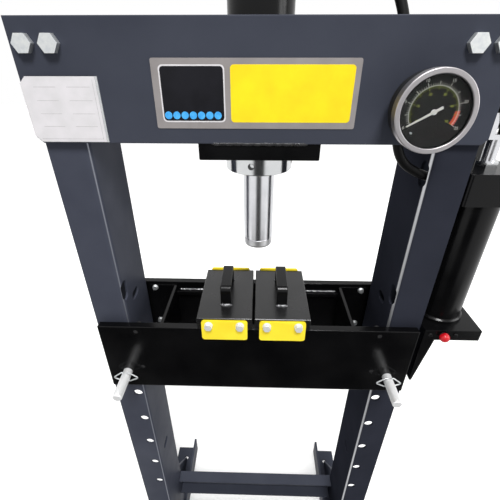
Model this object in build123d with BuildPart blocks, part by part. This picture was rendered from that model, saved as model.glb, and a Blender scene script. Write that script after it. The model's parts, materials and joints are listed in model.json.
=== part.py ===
from build123d import *
import os
from math import cos, radians, sin, tan

# Overall sizes in millimetres. The origin is on the floor, midway between the columns.
inner_span = 540
bed_top = 1080
daylight = 366
head_bottom = bed_top + daylight
running_gap = 0.05
fit_gap = 0.2
slide_gap = 0.4
overrun = 20
edge_round = 1.5

# Columns, channels with the web towards the work space
column_width = 68
column_depth = 137
column_wall = 5
column_bend = 9
column_half = column_depth / 2
web_face = inner_span / 2
column_outer = web_face + column_width
column_middle = web_face + column_width / 2
window_width = 23
window_height = 45
window_inset = 2.5
lower_window_rise = 67.5
hose_window_rise = 314
slot_width = 36
slot_height = 20
slot_setback = 9
slot_rises = (27, -252, -531)
pin_rows = 6
pin_pitch = 100

# Feet, braces and ties near the floor
foot_length = 580
foot_wall = 8
foot_rise = 75
foot_toe = 6
anchor_margin = 45
anchor_pitch = foot_length - 2 * anchor_margin
anchor_radius = 8
foot_bolt_radius = 7
foot_bolt_pitch = 80
foot_bolt_rise = 42
foot_bolt_head = 11.5
foot_bolt_head_height = 8
foot_bolt_tail = 10
brace_reach = 170
brace_rise = 210
brace_wall = 8
brace_toe = 12
tie_height = 80
tie_wall = 5
tie_flange = 36
tie_bottom = 160

# Head plates over the columns, with stiffeners between them and the thrust plate below
head_height = 165
head_wall = 9
head_overhang = 6
head_reach = column_outer + head_overhang
head_corner = 9
head_front = column_half + head_wall
head_top = head_bottom + head_height
stiffener_wall = 10
stiffener_offset = 108
stiffener_margin = 10
head_bolt_radius = 8
head_bolt_spread = 36
head_bolt_drop = 32
head_bolt_head = 13.5
head_bolt_head_height = 9
plate_reach = 94.5
plate_depth = 150
plate_wall = 26
plate_bottom = head_bottom - plate_wall

# Cylinder
bore_radius = 40
barrel_radius = 50
barrel_length = 281
nut_radius = 58.3
nut_height = 31
nut_chamfer = 1.5
nut_hole_radius = 5.5
nut_hole_depth = 6
nut_hole_count = 4
nut_hole_turn = -103
nut_bottom = plate_bottom - nut_height
barrel_top = nut_bottom + barrel_length
collar_radius = 62
collar_height = 22
gland_height = 40
wiper_height = 7
wiper_wall = 5
cap_radius = 56
cap_wall = 34
cap_spigot = 10
bleed_radius = 6
bleed_height = 10
port_radius = 12
port_reach = 16
cap_port_rise = 18

# Ram
rod_radius = 28
nose_rise = 153.5
nose_bottom = bed_top + nose_rise
nose_height = 15.5
nose_radius = 27.6
nose_round = 5
groove_height = 2
groove_depth = 1.6
piston_rise = 80
piston_height = 40
seal_height = 9
seal_depth = 5

# Pressure hose; the points between its two straight ends are X, Y and the height over the bed
hose_radius = 7.5
hose_arc_share = 0.45
ferrule_radius = 10
ferrule_length = 22
hose_nut_radius = 12
hose_nut_length = 9
hose_lead = 52
hose_tail = 36
hose_points = (
    (178, -12, 586),
    (205, -28, 530),
    (211, -40, 455),
    (214, -46, 385),
    (228, -51, 335),
    (262, -56, 315),
)

# Pressure gauge in front of the head
gauge_inset = 41
gauge_rise = 420
gauge_x = web_face - gauge_inset
gauge_z = bed_top + gauge_rise
gauge_front = 135
gauge_back = 93
gauge_radius = 53
gauge_window = 46
bezel_depth = 14
bezel_lip = 3
bezel_round = 1.2
case_radius = 50
case_round = 5
glass_wall = 2
dial_depth = 9.5
dial_wall = 1.5
dial_radius = 47
needle_reach = 37
needle_tail = 12
needle_root = 1.7
needle_tip = 0.9
needle_wall = 1.2
needle_lift = 1.6
hub_radius = 3.4
hub_height = 3
spindle_radius = 1.5
spindle_length = 6
needle_rest = 210
stem_radius = 8
stem_hex = 12.5
stem_hex_length = 9
stem_inset = 8

# Bed plates, bent spacers and ribs
bed_gap = 5.5
bed_wall = 15.4
bed_height = 176
bed_inset = 9
bed_reach = column_outer - bed_inset
bed_inner = column_half + bed_gap
bed_outer = bed_inner + bed_wall
spacer_setback = 73
spacer_margin = 6
spacer_face = web_face - spacer_setback
spacer_end = web_face - spacer_margin
spacer_wall = 6
spacer_bend = 9
spacer_drop = 6
spacer_height = 122
spacer_bolt_setback = 19
spacer_bolt_x = web_face - spacer_bolt_setback
spacer_bolt_drops = (13.5, 116)
spacer_bolt_radius = 4.5
spacer_head_radius = 7.5
spacer_head_height = 5.5
spacer_bolt_recess = 1
rib_drop = 22
rib_height = 9
rib_depth = 11

# Bed pins with wire pull loops
pin_radius = 10
pin_gap = 0.5
pin_setback = 17
pin_drop = 131
pin_x = web_face + pin_setback
pin_z = bed_top - pin_drop
pin_front = 160
pin_tail = 8
pin_chamfer = 2
loop_wire = 1.5
loop_hole = 2
loop_offset = 4
loop_y = 104
loop_rise = 15
loop_reach = 24
loop_drop = 4
loop_bend = 3.2

# Press blocks, their handles and their end plates
block_wall = 27
block_width = 112
block_split = 5
block_shift = -7.1
block_bevel = 1.2
end_plate_width = 93
end_plate_top = 23.5
end_plate_bottom = -25
end_plate_wall = 4.5
end_plate_corner = 6
end_bolt_pitch = 63
end_bolt_radius = 5
end_bolt_depth = 18
end_bolt_head = 8
end_bolt_head_height = 7.5
end_washer_radius = 8.6
end_washer_wall = 2
handle_length = 93
handle_rise = 45
handle_wall = 11
handle_width = 22
handle_bend = 13
handle_inner_bend = 4
handle_edge = 1.6

# Pump bracket on the right column
shelf_top = bed_top + 5
shelf_wall = 4
shelf_reach = 112
shelf_front = 89
lip_height = 25
gusset_reach = 24
gusset_drop = 120
shelf_passage = 12

# Hand pump
tank_offset = 50
tank_x = column_outer + tank_offset
tank_y = -22
tank_radius = 43
tank_wall = 3.5
tank_height = 257
ring_radius = 47.5
ring_height = 9
ring_lip = 3
pump_head_width = 92
pump_head_back = 58
pump_head_front = 46
pump_head_height = 56
pump_head_round = 6
pump_port_rise = 42
pump_port_setback = 28
pump_port_reach = 8
filler_radius = 9
filler_height = 9
filler_inset = 16
gland_nut_radius = 19
gland_nut_height = 11
plunger_radius = 11
plunger_depth = 18
bore_floor = 4
crank_arm = 42
crank_angle = 20
pivot_rise = 62
tongue_wall = 16
tongue_width = 24
tongue_gap = 0.5
ear_wall = 7
ear_width = 22
pivot_radius = 5
cross_pin_radius = 4
cross_pin_gap = 0.8
fork_wall = 8
fork_depth = 22
fork_over = 11
fork_slot = 22
fork_under = 30
lever_lean = 62
neck_length = 30
socket_radius = 14
socket_length = 64
socket_floor = 8
bar_radius = 10
bar_length = 330
grip_radius = 13.5
grip_length = 115
grip_round = 4
grip_floor = 4

# Release valve under the shelf
knob_offset = 37
knob_drop = 11
knob_x = column_outer + knob_offset
knob_z = shelf_top - knob_drop
knob_radius = 9.5
knob_height = 12
knob_standoff = 4
valve_width = 64
valve_depth = 36
valve_height = 22
valve_stem_radius = 4
valve_stem_depth = 22
lip_screw_pitch = 50
lip_screw_radius = 2.5
lip_screw_head = 4.5
lip_screw_head_height = 3
lip_screw_depth = 12

# Places that follow from the sizes
head_floor = shelf_top + tank_height
head_roof = head_floor + pump_head_height
pivot_z = head_roof + pivot_rise
pivot_y = tank_y + crank_arm
cross_pin_z = pivot_z + crank_arm * tan(radians(crank_angle))
hose_start = Vector(cap_radius + port_reach, 0, barrel_top + cap_port_rise)
hose_end = Vector(
    tank_x - pump_head_width / 2 - pump_port_reach,
    tank_y - pump_port_setback,
    head_floor + pump_port_rise,
)

sides = (("left", -1), ("right", 1))
ends = (("front", -1), ("rear", 1))
os.makedirs("parts", exist_ok=True)


def keep(piece, name):
    """Label a finished piece and write its file."""
    piece.part.label = name
    export_step(piece.part, f"parts/{name}.step")


def facing(y):
    """An upright plane at depth y, drawn in X and Z, whose normal points to the front."""
    return Plane.XZ.offset(-y)


def head_bolt_places(side):
    """Where the head bolts cross a column, in X and Z."""
    height = head_top - head_bolt_drop
    return [(side * column_middle + step * head_bolt_spread / 2, height) for step in (-1, 1)]


def foot_bolt_places():
    """Where the foot bolts cross a column's web, in Y and Z."""
    return [(step * foot_bolt_pitch / 2, foot_wall + foot_bolt_rise) for step in (-1, 1)]


def make_column(name, side):
    """A bent channel column with pin holes, windows, web slots and bolt holes."""
    window_y = -column_half + window_inset + window_width / 2
    rises = [lower_window_rise] + ([hose_window_rise] if side > 0 else [])
    with BuildPart() as column:
        with BuildSketch(Plane.XY.offset(foot_wall)) as section:
            with Locations((side * column_middle, 0)):
                Rectangle(column_width, column_depth)
            with Locations((side * (column_middle + column_wall), 0)):
                Rectangle(column_width, column_depth - 2 * column_wall, mode=Mode.SUBTRACT)
            fillet(section.vertices().sort_by(Axis.X, reverse=side < 0)[2:4], column_bend - column_wall)
            fillet(section.vertices().sort_by(Axis.X, reverse=side < 0)[:2], column_bend)
        extrude(amount=head_top - foot_wall)
        with BuildSketch(Plane.XZ):
            with Locations(*[(side * pin_x, pin_z - row * pin_pitch) for row in range(pin_rows)]):
                Circle(pin_radius + pin_gap)
            with Locations(*head_bolt_places(side)):
                Circle(head_bolt_radius + fit_gap)
        extrude(amount=column_depth, both=True, mode=Mode.SUBTRACT)
        with BuildSketch(Plane.YZ.offset(side * (web_face + column_wall / 2))):
            with Locations(*[(window_y, bed_top + rise) for rise in rises]):
                SlotOverall(window_height, window_width, rotation=90)
            with Locations(*[(-slot_setback, bed_top + rise) for rise in slot_rises]):
                SlotOverall(slot_width, slot_height)
            with Locations(*foot_bolt_places()):
                Circle(foot_bolt_radius + fit_gap)
        extrude(amount=column_wall, both=True, mode=Mode.SUBTRACT)
    keep(column, name)


def make_foot(name, side):
    """An angle foot, front to back under a column and bolted to its web."""
    inner = web_face - foot_wall
    outer = column_outer + foot_toe
    with BuildPart() as foot:
        with BuildSketch(Plane.XZ):
            with BuildLine():
                Polyline(
                    (side * inner, 0),
                    (side * outer, 0),
                    (side * outer, foot_wall),
                    (side * web_face, foot_wall),
                    (side * web_face, foot_rise),
                    (side * inner, foot_rise),
                    close=True,
                )
            make_face()
        extrude(amount=foot_length / 2, both=True)
        with BuildSketch(Plane.YZ.offset(side * (web_face - foot_wall / 2))):
            with Locations(*foot_bolt_places()):
                Circle(foot_bolt_radius + fit_gap)
        extrude(amount=foot_wall, both=True, mode=Mode.SUBTRACT)
        with BuildSketch(Plane.XY):
            with Locations(*[(side * column_middle, step * anchor_pitch / 2) for step in (-1, 1)]):
                Circle(anchor_radius)
        extrude(amount=foot_wall + overrun, mode=Mode.SUBTRACT)
    keep(foot, name)


def make_braces():
    """Triangular plates between the faces of the columns and their feet."""
    with BuildPart() as braces:
        for side, end in [(side, end) for _, side in sides for _, end in ends]:
            root = end * column_half
            with BuildSketch(Plane.YZ.offset(side * column_middle)):
                with BuildLine():
                    Polyline(
                        (root, foot_wall),
                        (root + end * brace_reach, foot_wall),
                        (root + end * brace_reach, foot_wall + brace_toe),
                        (root + end * brace_toe, foot_wall + brace_rise),
                        (root, foot_wall + brace_rise),
                        close=True,
                    )
                make_face()
            extrude(amount=brace_wall / 2, both=True)
    keep(braces, "foot_braces")


def make_foot_bolts():
    """The bolts through the feet and the column webs, one group."""
    with BuildPart() as bolts:
        for _, side in sides:
            seat = Plane.YZ.offset(side * (web_face - foot_wall))
            with BuildSketch(seat):
                with Locations(*foot_bolt_places()):
                    RegularPolygon(foot_bolt_head, 6)
            extrude(amount=-side * foot_bolt_head_height)
            with BuildSketch(seat):
                with Locations(*foot_bolt_places()):
                    Circle(foot_bolt_radius)
            extrude(amount=side * (foot_wall + column_wall + foot_bolt_tail))
    keep(bolts, "foot_bolts")


def make_ties():
    """Two channels across the frame near the floor, between the column webs."""
    tie_top = tie_bottom + tie_height
    with BuildPart() as ties:
        for _, end in ends:
            face = end * column_half
            root = face - end * tie_flange
            inside = face - end * tie_wall
            with BuildSketch(Plane.YZ):
                with BuildLine():
                    Polyline(
                        (face, tie_bottom),
                        (face, tie_top),
                        (root, tie_top),
                        (root, tie_top - tie_wall),
                        (inside, tie_top - tie_wall),
                        (inside, tie_bottom + tie_wall),
                        (root, tie_bottom + tie_wall),
                        (root, tie_bottom),
                        close=True,
                    )
                make_face()
            extrude(amount=web_face, both=True)
    keep(ties, "lower_ties")


def make_head_plate(name, end):
    """A head plate over both columns; the front one takes the gauge stem."""
    with BuildPart() as plate:
        with BuildSketch(facing(column_half if end > 0 else -head_front)) as outline:
            with Locations((0, head_bottom + head_height / 2)):
                Rectangle(2 * head_reach, head_height)
            chamfer(outline.vertices().group_by(Axis.Y)[0], head_corner)
            for _, side in sides:
                with Locations(*head_bolt_places(side)):
                    Circle(head_bolt_radius + fit_gap, mode=Mode.SUBTRACT)
            if end < 0:
                with Locations((gauge_x, gauge_z)):
                    Circle(stem_radius + fit_gap, mode=Mode.SUBTRACT)
        extrude(amount=-head_wall)
        outer_face = plate.faces().sort_by(Axis.Y)[0 if end < 0 else -1]
        fillet(outer_face.outer_wire().edges(), edge_round)
    keep(plate, name)


def make_head_bolts():
    """Through bolts with a hex at both ends, one group."""
    with BuildPart() as bolts:
        for _, side in sides:
            with BuildSketch(facing(head_front)):
                with Locations(*head_bolt_places(side)):
                    Circle(head_bolt_radius)
            extrude(amount=2 * head_front)
            for _, end in ends:
                with BuildSketch(facing(end * head_front)):
                    with Locations(*head_bolt_places(side)):
                        RegularPolygon(head_bolt_head, 6)
                extrude(amount=-end * head_bolt_head_height)
    keep(bolts, "head_bolts")


def make_stiffeners():
    """Two upright webs between the head plates, beside the cylinder."""
    with BuildPart() as webs:
        for _, side in sides:
            with BuildSketch(Plane.YZ.offset(side * stiffener_offset)):
                with Locations((0, head_bottom + head_height / 2)):
                    Rectangle(column_depth, head_height - 2 * stiffener_margin)
            extrude(amount=stiffener_wall / 2, both=True)
    keep(webs, "head_stiffeners")


def make_thrust_plate():
    """The thick plate under the head plates, bored for the cylinder."""
    with BuildPart() as plate:
        with BuildSketch(Plane.XY.offset(plate_bottom)):
            Rectangle(2 * plate_reach, plate_depth)
            Circle(barrel_radius + slide_gap, mode=Mode.SUBTRACT)
        extrude(amount=plate_wall)
        chamfer(plate.faces().sort_by(Axis.Z)[0].outer_wire().edges(), edge_round)
    keep(plate, "thrust_plate")


def make_barrel():
    """The cylinder tube, with the rod gland in its foot and a collar on the thrust plate."""
    gland_top = nut_bottom + gland_height
    rod_hole = rod_radius + running_gap
    with BuildPart() as barrel:
        with BuildSketch(Plane.XZ):
            with BuildLine():
                Polyline(
                    (rod_hole, nut_bottom + wiper_height),
                    (rod_radius + wiper_wall, nut_bottom + wiper_height),
                    (rod_radius + wiper_wall, nut_bottom),
                    (barrel_radius, nut_bottom),
                    (barrel_radius, head_bottom),
                    (collar_radius, head_bottom),
                    (collar_radius, head_bottom + collar_height),
                    (barrel_radius, head_bottom + collar_height),
                    (barrel_radius, barrel_top),
                    (bore_radius, barrel_top),
                    (bore_radius, gland_top),
                    (rod_hole, gland_top),
                    close=True,
                )
            make_face()
        revolve(axis=Axis.Z)
    keep(barrel, "cylinder_barrel")


def make_cap():
    """The top cap, with a spigot in the bore, a bleed screw and the oil port for the hose."""
    with BuildPart() as cap:
        with BuildSketch(Plane.XZ):
            with BuildLine():
                Polyline(
                    (0, barrel_top - cap_spigot),
                    (bore_radius - running_gap, barrel_top - cap_spigot),
                    (bore_radius - running_gap, barrel_top),
                    (cap_radius, barrel_top),
                    (cap_radius, barrel_top + cap_wall - edge_round),
                    (cap_radius - edge_round, barrel_top + cap_wall),
                    (bleed_radius, barrel_top + cap_wall),
                    (bleed_radius, barrel_top + cap_wall + bleed_height),
                    (0, barrel_top + cap_wall + bleed_height),
                    close=True,
                )
            make_face()
        revolve(axis=Axis.Z)
        with BuildSketch(Plane(origin=hose_start, z_dir=(-1, 0, 0))):
            Circle(port_radius)
        extrude(amount=port_reach + overrun)
    keep(cap, "cylinder_cap")


def make_ring_nut():
    """The lock ring under the thrust plate, with spanner holes round it."""
    with BuildPart() as nut:
        with BuildSketch(Plane.XY.offset(nut_bottom)):
            Circle(nut_radius)
            Circle(barrel_radius + running_gap, mode=Mode.SUBTRACT)
        extrude(amount=nut_height)
        rims = nut.faces().sort_by(Axis.Z)
        chamfer([rims[0].outer_wire().edge(), rims[-1].outer_wire().edge()], nut_chamfer)
        for turn in range(nut_hole_count):
            angle = radians(nut_hole_turn + turn * 360 / nut_hole_count)
            outward = Vector(cos(angle), sin(angle), 0)
            floor = outward * (nut_radius - nut_hole_depth) + Vector(0, 0, nut_bottom + nut_height / 2)
            with BuildSketch(Plane(origin=floor, z_dir=outward)):
                Circle(nut_hole_radius)
            extrude(amount=nut_hole_depth + overrun, mode=Mode.SUBTRACT)
    keep(nut, "ring_nut")


def make_ram():
    """The piston and rod in one turned piece, the piston seal, the nose and the gland's wiper."""
    shoulder = nose_bottom + nose_height
    piston_bottom = nut_bottom + gland_height + piston_rise
    piston_face = bore_radius - running_gap
    seal_bottom = piston_bottom + (piston_height - seal_height) / 2
    with BuildPart() as rod:
        with BuildSketch(Plane.XZ):
            with BuildLine():
                Polyline(
                    (0, shoulder),
                    (rod_radius - groove_depth, shoulder),
                    (rod_radius - groove_depth, shoulder + groove_height),
                    (rod_radius, shoulder + groove_height),
                    (rod_radius, piston_bottom),
                    (piston_face, piston_bottom),
                    (piston_face, seal_bottom),
                    (piston_face - seal_depth, seal_bottom),
                    (piston_face - seal_depth, seal_bottom + seal_height),
                    (piston_face, seal_bottom + seal_height),
                    (piston_face, piston_bottom + piston_height),
                    (0, piston_bottom + piston_height),
                    close=True,
                )
            make_face()
        revolve(axis=Axis.Z)
    keep(rod, "ram_rod")
    with BuildPart() as seal:
        with BuildSketch(Plane.XY.offset(seal_bottom)):
            Circle(piston_face)
            Circle(piston_face - seal_depth, mode=Mode.SUBTRACT)
        extrude(amount=seal_height)
    keep(seal, "piston_seal")
    with BuildPart() as nose:
        with BuildSketch(Plane.XY.offset(nose_bottom)):
            Circle(nose_radius)
        extrude(amount=nose_height)
        fillet(nose.faces().sort_by(Axis.Z)[0].edges(), nose_round)
    keep(nose, "ram_nose")
    with BuildPart() as wiper:
        with BuildSketch(Plane.XY.offset(nut_bottom)):
            Circle(rod_radius + wiper_wall)
            Circle(rod_radius + running_gap, mode=Mode.SUBTRACT)
        extrude(amount=wiper_height)
    keep(wiper, "rod_wiper")


def make_hose():
    """The hose from the cap, through the right column's web, to the pump, and its two end fittings."""
    middle = [Vector(x, y, bed_top + rise) for x, y, rise in hose_points]
    lead = hose_start + Vector(hose_lead, 0, 0)
    tail = hose_end - Vector(hose_tail, 0, 0)
    corners = [hose_start, lead, *middle, tail, hose_end]
    runs = [after - before for before, after in zip(corners, corners[1:])]
    arcs = []
    for before, after in zip(runs, runs[1:]):
        half_turn = radians(before.get_angle(after) / 2)
        arcs.append(hose_arc_share * min(before.length, after.length) / tan(half_turn))
    print("hose arc radii", [round(arc) for arc in arcs])
    with BuildLine() as route:
        FilletPolyline(*corners, radius=arcs)
    print("hose length", round(route.wire().length))
    with BuildPart() as hose:
        with BuildSketch(Plane(origin=corners[0], z_dir=runs[0])):
            Circle(hose_radius)
        sweep(path=route.wire())
    keep(hose, "pressure_hose")
    with BuildPart() as fittings:
        for start, way in ((corners[0], runs[0]), (corners[-1], runs[-1] * -1)):
            with BuildSketch(Plane(origin=start, z_dir=way)):
                Circle(ferrule_radius)
                Circle(hose_radius + running_gap, mode=Mode.SUBTRACT)
            extrude(amount=ferrule_length)
            with BuildSketch(Plane(origin=start, z_dir=way)):
                RegularPolygon(hose_nut_radius, 6)
                Circle(hose_radius + running_gap, mode=Mode.SUBTRACT)
            extrude(amount=hose_nut_length)
    keep(fittings, "hose_fittings")


def make_gauge():
    """The pressure gauge: case, bezel, glass, dial, stem and the needle on its spindle."""
    dial_back = -(gauge_front - dial_depth - dial_wall)
    rim = -(gauge_front - bezel_lip - glass_wall)
    middle = (gauge_x, gauge_z)
    rest_angle = radians(needle_rest)
    needle_plane = Plane(
        origin=(gauge_x, dial_back - dial_wall - needle_lift, gauge_z),
        x_dir=(cos(rest_angle), 0, sin(rest_angle)),
        z_dir=(0, -1, 0),
    )
    with BuildPart() as case:
        with BuildSketch(facing(-gauge_back)):
            with Locations(middle):
                Circle(case_radius)
        extrude(amount=-rim - gauge_back)
        fillet(case.faces().sort_by(Axis.Y)[-1].edges(), case_round)
        with BuildSketch(facing(dial_back)):
            with Locations(middle):
                Circle(dial_radius + fit_gap)
        extrude(amount=overrun, mode=Mode.SUBTRACT)
        with BuildSketch(facing(dial_back)):
            with Locations(middle):
                Circle(spindle_radius + running_gap)
        extrude(amount=-spindle_length, mode=Mode.SUBTRACT)
    keep(case, "gauge_case")
    with BuildPart() as bezel:
        with BuildSketch(facing(-gauge_front)):
            with Locations(middle):
                Circle(gauge_radius)
                Circle(gauge_window, mode=Mode.SUBTRACT)
        extrude(amount=-bezel_lip)
        with BuildSketch(facing(-gauge_front + bezel_lip)):
            with Locations(middle):
                Circle(gauge_radius)
                Circle(case_radius + running_gap, mode=Mode.SUBTRACT)
        extrude(amount=bezel_lip - bezel_depth)
        front_edges = bezel.faces().sort_by(Axis.Y)[0].edges()
        fillet(front_edges, bezel_round)
    keep(bezel, "gauge_bezel")
    with BuildPart() as glass:
        with BuildSketch(facing(rim)):
            with Locations(middle):
                Circle(case_radius)
        extrude(amount=glass_wall)
    keep(glass, "gauge_glass")
    with BuildPart() as dial:
        with BuildSketch(facing(dial_back)):
            with Locations(middle):
                Circle(dial_radius)
                Circle(spindle_radius + running_gap, mode=Mode.SUBTRACT)
        extrude(amount=dial_wall)
    keep(dial, "gauge_dial")
    with BuildPart() as needle:
        with BuildSketch(needle_plane):
            with BuildLine():
                Polyline(
                    (-needle_tail, -needle_root),
                    (needle_reach, -needle_tip),
                    (needle_reach, needle_tip),
                    (-needle_tail, needle_root),
                    close=True,
                )
            make_face()
        extrude(amount=needle_wall)
        with BuildSketch(facing(dial_back - dial_wall - slide_gap)):
            with Locations(middle):
                Circle(hub_radius)
        extrude(amount=hub_height)
        with BuildSketch(facing(dial_back - dial_wall - slide_gap)):
            with Locations(middle):
                Circle(spindle_radius)
        extrude(amount=-dial_wall - spindle_length + slide_gap)
    keep(needle, "gauge_needle")
    with BuildPart() as stem:
        with BuildSketch(facing(-gauge_back)):
            with Locations(middle):
                Circle(stem_radius)
        extrude(amount=-(gauge_back - column_half + stem_inset))
        with BuildSketch(facing(-head_front)):
            with Locations(middle):
                RegularPolygon(stem_hex, 6)
        extrude(amount=stem_hex_length)
    keep(stem, "gauge_stem")


def spacer_bolt_places():
    """Where the spacer bolts cross the bed plates, in X and Z."""
    return [(side * spacer_bolt_x, bed_top - drop) for _, side in sides for drop in spacer_bolt_drops]


def make_bed_plate(name, end):
    """A deep bed plate with holes for the pins and the spacer bolts."""
    with BuildPart() as plate:
        with BuildSketch(facing(end * bed_inner)):
            with Locations((0, bed_top - bed_height / 2)):
                Rectangle(2 * bed_reach, bed_height)
            with Locations(*[(side * pin_x, pin_z) for _, side in sides]):
                Circle(pin_radius + pin_gap, mode=Mode.SUBTRACT)
            with Locations(*spacer_bolt_places()):
                Circle(spacer_bolt_radius + fit_gap, mode=Mode.SUBTRACT)
        extrude(amount=-end * bed_wall)
        fillet(plate.edges().filter_by(Axis.X).group_by(Axis.Z)[-1], edge_round)
        fillet(plate.edges().filter_by(Axis.Y).filter_by(GeomType.LINE), edge_round)
    keep(plate, name)


def make_spacer(name, side):
    """A bent plate that holds the bed plates apart, its flanges towards the column."""
    with BuildPart() as spacer:
        with BuildSketch(Plane.XY.offset(bed_top - spacer_drop - spacer_height)) as section:
            with Locations((side * (spacer_face + spacer_end) / 2, 0)):
                Rectangle(spacer_end - spacer_face, 2 * bed_inner)
            with Locations((side * ((spacer_face + spacer_end) / 2 + spacer_wall), 0)):
                Rectangle(spacer_end - spacer_face, 2 * (bed_inner - spacer_wall), mode=Mode.SUBTRACT)
            fillet(section.vertices().sort_by(Axis.X, reverse=side < 0)[2:4], spacer_bend - spacer_wall)
            fillet(section.vertices().sort_by(Axis.X, reverse=side < 0)[:2], spacer_bend)
        extrude(amount=spacer_height)
        with BuildSketch(Plane.XZ):
            with Locations(*spacer_bolt_places()):
                Circle(spacer_bolt_radius + fit_gap)
        extrude(amount=bed_inner + overrun, both=True, mode=Mode.SUBTRACT)
    keep(spacer, name)


def make_spacer_bolts():
    """Dome-headed bolts from inside the bed through the spacers into the plates, one group."""
    seat = bed_inner - spacer_wall
    with BuildPart() as bolts:
        for _, end in ends:
            with BuildSketch(facing(end * seat)):
                with Locations(*spacer_bolt_places()):
                    Circle(spacer_head_radius)
            extrude(amount=end * spacer_head_height, taper=20)
            with BuildSketch(facing(end * seat)):
                with Locations(*spacer_bolt_places()):
                    Circle(spacer_bolt_radius)
            extrude(amount=-end * (spacer_wall + bed_wall - spacer_bolt_recess))
    keep(bolts, "spacer_bolts")


def make_ribs():
    """Flat bars welded along the inside of the bed plates, between the spacers."""
    with BuildPart() as ribs:
        for _, end in ends:
            with BuildSketch(facing(end * bed_inner)):
                with Locations((0, bed_top - rib_drop - rib_height / 2)):
                    Rectangle(2 * spacer_face, rib_height)
            extrude(amount=end * rib_depth)
    keep(ribs, "bed_ribs")


def make_pin(name, side):
    """A bed pin through both bed plates and a column, cross-drilled for its two wire loops."""
    with BuildPart() as pin:
        with BuildSketch(facing(-pin_front)):
            with Locations((side * pin_x, pin_z)):
                Circle(pin_radius)
        extrude(amount=-(pin_front + bed_outer + pin_tail))
        tips = pin.faces().sort_by(Axis.Y)
        chamfer([tips[0].edge(), tips[-1].edge()], pin_chamfer)
        with BuildSketch(Plane.XY.offset(pin_z)):
            with Locations(*[(side * pin_x + step * loop_offset, -loop_y) for step in (-1, 1)]):
                Circle(loop_hole)
        extrude(amount=2 * pin_radius, both=True, mode=Mode.SUBTRACT)
    keep(pin, f"{name}_bed_pin")
    with BuildPart() as loops:
        for step in (-1, 1):
            root = Vector(side * pin_x + step * loop_offset, -loop_y, pin_z)
            with BuildLine(mode=Mode.PRIVATE) as route:
                FilletPolyline(
                    root + Vector(0, 0, -loop_rise),
                    root + Vector(0, 0, loop_rise),
                    root + Vector(step * loop_reach, 0, -loop_drop),
                    radius=loop_bend,
                    close=True,
                )
            with BuildSketch(Plane(origin=root, z_dir=(0, 0, 1))):
                Circle(loop_wire)
            sweep(path=route.wire())
    keep(loops, f"{name}_pin_loops")


def make_block(name, step):
    """A press block on the bed, with a bent handle, end plates that keep it in line and their bolts."""
    middle = block_shift + step * (block_width + block_split) / 2
    block_end = bed_outer + slide_gap
    block_top = bed_top + block_wall
    handle_top = block_top + handle_rise
    bolt_places = [(middle + way * end_bolt_pitch / 2, bed_top + block_wall / 2) for way in (-1, 1)]
    with BuildPart() as block:
        with BuildSketch(Plane.XY.offset(bed_top)):
            with Locations((middle, 0)):
                Rectangle(block_width, 2 * block_end)
        extrude(amount=block_wall)
        chamfer(block.faces().sort_by(Axis.Z)[-1].edges(), block_bevel)
        for _, end in ends:
            with BuildSketch(facing(end * block_end)):
                with Locations(*bolt_places):
                    Circle(end_bolt_radius + fit_gap)
            extrude(amount=end * end_bolt_depth, mode=Mode.SUBTRACT)
    keep(block, f"{name}_press_block")
    with BuildPart() as handle:
        with BuildSketch(Plane.YZ.offset(middle)) as outline:
            with Locations((0, block_top + handle_rise / 2)):
                Rectangle(handle_length, handle_rise)
            fillet(outline.vertices().group_by(Axis.Y)[-1], handle_bend)
            with Locations((0, block_top + handle_rise / 2 - handle_wall)):
                Rectangle(handle_length - 2 * handle_wall, handle_rise, mode=Mode.SUBTRACT)
        extrude(amount=handle_width / 2, both=True)
        underside = handle_top - handle_wall
        inside = handle_length / 2 - handle_wall
        bends = handle.edges().filter_by(Axis.X)
        bends = bends.filter_by_position(Axis.Z, underside - edge_round, underside + edge_round)
        bends = bends.filter_by_position(Axis.Y, -inside - edge_round, inside + edge_round)
        fillet(bends, handle_inner_bend)
        for flank in handle.faces().filter_by(Axis.X):
            rim = flank.edges().filter_by_position(Axis.Z, block_top + edge_round / 2, handle_top)
            fillet(rim, handle_edge)
    keep(handle, f"{name}_block_handle")
    with BuildPart() as guides:
        for _, end in ends:
            with BuildSketch(facing(end * block_end)):
                with Locations((middle, bed_top + (end_plate_top + end_plate_bottom) / 2)):
                    RectangleRounded(end_plate_width, end_plate_top - end_plate_bottom, end_plate_corner)
                with Locations(*bolt_places):
                    Circle(end_bolt_radius + fit_gap, mode=Mode.SUBTRACT)
            extrude(amount=-end * end_plate_wall)
    keep(guides, f"{name}_block_guides")
    with BuildPart() as bolts:
        for _, end in ends:
            seat = end * (block_end + end_plate_wall)
            with BuildSketch(facing(seat)):
                with Locations(*bolt_places):
                    Circle(end_washer_radius)
            extrude(amount=-end * end_washer_wall)
            with BuildSketch(facing(seat + end * end_washer_wall)):
                with Locations(*bolt_places):
                    RegularPolygon(end_bolt_head, 6)
            extrude(amount=-end * end_bolt_head_height)
            with BuildSketch(facing(seat)):
                with Locations(*bolt_places):
                    Circle(end_bolt_radius)
            extrude(amount=end * (end_plate_wall + end_bolt_depth - fit_gap))
    keep(bolts, f"{name}_block_bolts")


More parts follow.
